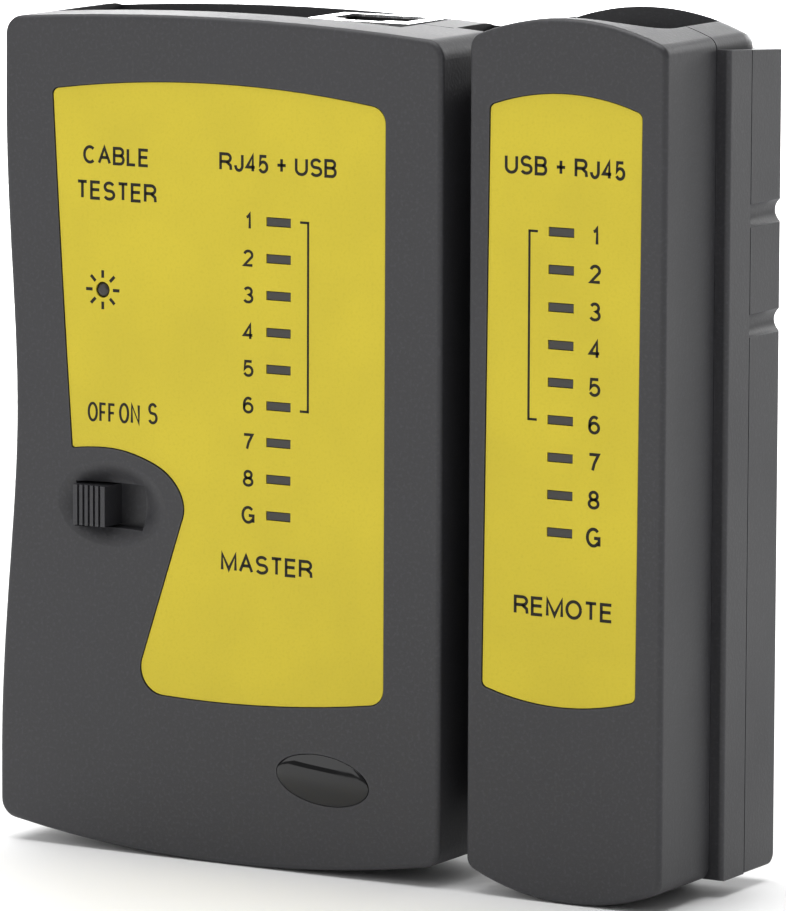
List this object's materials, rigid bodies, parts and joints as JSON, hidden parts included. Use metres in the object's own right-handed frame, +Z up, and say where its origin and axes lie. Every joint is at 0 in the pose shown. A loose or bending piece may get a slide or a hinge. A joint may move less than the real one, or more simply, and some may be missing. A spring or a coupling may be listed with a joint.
{
  "type": "network cable tester",
  "caption": "Hand-held two-part cable tester: waisted master unit with label, lamp column and slide switch, and a narrow remote unit that slides off its side rail.",
  "frame": {"origin": "middle of the overall bounding box in X and Y, at the level of the surface the tester stands on (the lowest lines of both arched bottoms)", "axes": "+Z up along the tall side, towards the ports; -Y out of the labelled fronts; +X to the right as the labels are read, from the master to the remote"},
  "size_m": [0.1002, 0.0288, 0.1122],
  "materials": {
    "case_plastic": "fine spark-eroded grain",
    "label_film": "matte printed film",
    "badge_resin": "domed gloss",
    "circuit_board": "solder mask",
    "lamp_lens": "tinted, unlit",
    "knob_plastic": "satin",
    "nickel_plate": "bright nickel",
    "port_plastic": "moulded",
    "tongue_plastic": "moulded",
    "gold_contact": "flash plated",
    "chip_epoxy": "matt",
    "resistor_lacquer": "lacquer",
    "capacitor_can": "satin",
    "battery_jacket": "printed steel jacket",
    "snap_vinyl": "vinyl",
    "lead_red": "vinyl",
    "lead_black": "vinyl",
    "foam": "open cell",
    "screw_steel": "zinc plated",
    "diode_glass": "glass bead"
  },
  "bodies": {
    "master": {"master_front_shell": "case_plastic", "master_back_shell": "case_plastic", "master_label": "label_film", "oval_badge": "badge_resin", "master_board": "circuit_board", "master_lamps": "lamp_lens", "power_lamp": "lamp_lens", "switch_body": "nickel_plate", "counter_chip": "chip_epoxy", "timer_chip": "chip_epoxy", "master_resistors": "resistor_lacquer", "master_capacitors": "capacitor_can", "battery": "battery_jacket", "battery_terminals": "nickel_plate", "battery_snap": "snap_vinyl", "battery_lead_red": "lead_red", "battery_lead_black": "lead_black", "battery_foam": "foam", "master_case_screws": "screw_steel", "master_board_screws": "screw_steel", "master_jack_shield": "nickel_plate", "master_jack_body": "port_plastic", "master_jack_contacts": "gold_contact", "master_usb_shell": "nickel_plate", "master_usb_tongue": "tongue_plastic", "master_usb_contacts": "gold_contact"},
    "knob": {"switch_knob": "knob_plastic"},
    "door": {"battery_door": "case_plastic"},
    "remote": {"remote_front_shell": "case_plastic", "remote_back_shell": "case_plastic", "remote_label": "label_film", "remote_board": "circuit_board", "remote_lamps": "lamp_lens", "remote_diodes": "diode_glass", "remote_case_screws": "screw_steel", "remote_board_screws": "screw_steel", "remote_jack_shield": "nickel_plate", "remote_jack_body": "port_plastic", "remote_jack_contacts": "gold_contact", "remote_usb_shell": "nickel_plate", "remote_usb_tongue": "tongue_plastic", "remote_usb_contacts": "gold_contact"}
  },
  "joints": [
    {"name": "remote_slide", "type": "slide", "parent": "master", "child": "remote", "axis": [0, 0, 1], "range_m": [0, 0.106]},
    {"name": "switch_slide", "type": "slide", "parent": "master", "child": "knob", "axis": [1, 0, 0], "range_m": [0, 0.004]},
    {"name": "battery_door_slide", "type": "slide", "parent": "master", "child": "door", "axis": [0, 0, -1], "range_m": [0, 0.034]}
  ]
}
